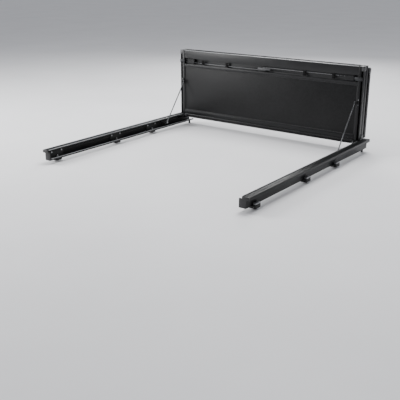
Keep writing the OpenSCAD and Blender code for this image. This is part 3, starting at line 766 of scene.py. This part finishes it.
for panel in panels:
    facing = facing_of(panel)
    under_y = end_of(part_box(panel + "_left_frame"), 1, facing)
    for side, sign in sides:
        side_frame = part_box(panel + "_" + side + "_frame")
        low, high = side_frame
        free_z = end_of(side_frame, 2, -facing)
        hinge_z = end_of(side_frame, 2, facing)
        z_low, z_high = sorted((hinge_z + facing * plug_proud, hinge_z - facing * sunk))
        plug = block(
            panel + "_" + side + "_plug",
            (low.x + plug_inset, low.y + plug_inset, z_low),
            (high.x - plug_inset, high.y - plug_inset, z_high),
        )
        round_edges_along(plug, 2, 0.003)
        finish_piece(plug, panel + "_panel", black_nylon)
        z_low, z_high = sorted((free_z + facing * cap_length, free_z - facing * cap_end_proud))
        outer_x = max(abs(low.x), abs(high.x)) + cap_proud
        inner_x = min(abs(low.x), abs(high.x)) + cap_wrap
        x_low, x_high = sorted((sign * inner_x, sign * outer_x))
        outside_y = end_of(side_frame, 1, -facing)
        y_low, y_high = sorted(
            (under_y - facing * cap_under_gap, outside_y - facing * cap_outer_gap)
        )
        cap = block(
            panel + "_" + side + "_corner_cap", (x_low, y_low, z_low), (x_high, y_high, z_high)
        )
        round_edges_along(cap, 1, 0.0035)
        round_all(0.0008)
        finish_piece(cap, panel + "_panel", cap_coat)


# ------------------------------------------------------------------ free-edge beads
# The box section at each panel's free end has a rolled bead along its edge on the underside,
# in the same light grey as the rails' lips: a painted highlight along the edge.
edge_bead_r = 0.0021
edge_bead_gap = 0.002
edge_bead_out = 0.0016
edge_bead_in = 0.0018
for panel in panels:
    facing = facing_of(panel)
    low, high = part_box(panel + "_latch_bar")
    x_from = low.x + edge_bead_gap
    x_to = high.x - edge_bead_gap
    side_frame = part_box(panel + "_left_frame")
    bead_y = end_of(side_frame, 1, facing) - facing * edge_bead_out
    bead_z = end_of(side_frame, 2, -facing) + facing * edge_bead_in
    edge_bead = bead(
        panel + "_edge_bead", 0, x_to - x_from, ((x_from + x_to) / 2, bead_y, bead_z), edge_bead_r
    )
    finish_piece(edge_bead, panel + "_panel", highlight_grey)


# ------------------------------------------------------------------ cable ferrules
# A crimped ferrule with two rolled grooves joins each cable to its latch, and a hexagonal
# adjuster sits behind it.
housing_depth = 0.0625
ferrules = ((0.020, 0.0033, 0.016, 20), (0.040, 0.0046, 0.007, 6))


def ferrule(name, centre, radius, length, sides_round):
    """A turned sleeve along X: a cylinder whose ends are stepped in and whose rims are eased."""
    bpy.ops.object.select_all(action="DESELECT")
    bpy.ops.mesh.primitive_cylinder_add(
        vertices=sides_round, radius=radius, depth=length, rotation=(0, math.pi / 2, 0),
        location=centre,
    )
    piece = bpy.context.active_object
    piece.name = name
    bpy.ops.object.transform_apply(location=True, rotation=True, scale=True)
    select_faces(piece, lambda centre, normal: abs(normal.x) > 0.9)
    bpy.ops.mesh.inset(thickness=radius * 0.22, use_individual=True)
    bpy.ops.mesh.extrude_faces_move(TRANSFORM_OT_shrink_fatten={"value": length * 0.18})
    bpy.ops.mesh.select_mode(type="EDGE")
    bpy.ops.mesh.select_all(action="DESELECT")
    bpy.ops.mesh.edges_select_sharp(sharpness=math.radians(70))
    bpy.ops.mesh.bevel(offset=radius * 0.08, segments=2, affect="EDGES")
    bpy.ops.object.mode_set(mode="OBJECT")
    return piece


for panel in panels:
    for side, sign in sides:
        low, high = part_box(panel + "_" + side + "_cable")
        centre_y = (low.y + high.y) / 2
        centre_z = (low.z + high.z) / 2
        inner_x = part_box(panel + "_latch_housings")[1].x - housing_depth
        for number, (back, radius, length, count) in enumerate(ferrules):
            sleeve = ferrule(
                panel + "_" + side + "_ferrule_" + str(number),
                (sign * (inner_x - back), centre_y, centre_z), radius, length, count,
            )
            finish_piece(sleeve, panel + "_" + side + "_bolt", black_zinc)


# ------------------------------------------------------------------ prop rods
# Two satin steel rods turn on pins in the rails and hook over keepers on the front panel's
# side frames. They hold the stack up while the truck is driven with the bed open.
for side in ("left", "right"):
    eased(side + "_prop_rod", rod_steel, 0.0006, shortest=0.0006)
eased("rod_keepers", clamp_coat, 0.0006, shortest=0.0015)


# ------------------------------------------------------------------ studio
# A pale matt floor and five soft lights: a wide one overhead, a key and a low sheen from the
# left rear, a rim from the left front and a weak fill from the right rear.
floor_z = cad_box[0].z
bpy.ops.object.select_all(action="DESELECT")
bpy.ops.mesh.primitive_plane_add(size=60, location=(0, 0, floor_z))
floor = bpy.context.active_object
floor.name = "floor"
floor_paint, floor_tree, floor_shader, floor_coords = new_material("floor_paint")
floor_shade = blend_colour(
    floor_tree, noise(floor_tree, floor_coords, 1.5), (0.72, 0.72, 0.73), (0.76, 0.76, 0.77)
)
floor_tree.links.new(floor_shade, floor_shader.inputs["Base Color"])
floor_shader.inputs["Roughness"].default_value = 0.9
floor.data.materials.append(floor_paint)


def soft_light(name, place, target, width, power):
    bpy.ops.object.light_add(type="AREA", location=place)
    light = bpy.context.active_object
    light.name = name
    light.data.shape = "DISK"
    light.data.size = width
    light.data.energy = power
    aim = Vector(target) - Vector(place)
    light.rotation_euler = aim.to_track_quat("-Z", "Y").to_euler()


soft_light("overhead", (0.2, 0.3, 3.4), (0, -0.4, 0), 2.6, 155)
soft_light("key", (-3.2, -2.0, 2.4), (-0.5, 0, 0.25), 1.6, 130)
soft_light("rim", (-1.6, 3.2, 2.2), (0, 0, 0.4), 2.0, 90)
soft_light("fill", (3.4, -3.0, 2.2), (0, -0.3, 0.2), 2.2, 12)
soft_light("left sheen", (-3.4, -2.8, 0.9), (-0.6, 0, 0.3), 1.4, 70)
world = bpy.context.scene.world or bpy.data.worlds.new("studio")
bpy.context.scene.world = world
world.use_nodes = True
world.node_tree.nodes["Background"].inputs["Color"].default_value = (0.92, 0.94, 1.0, 1)
world.node_tree.nodes["Background"].inputs["Strength"].default_value = 0.55
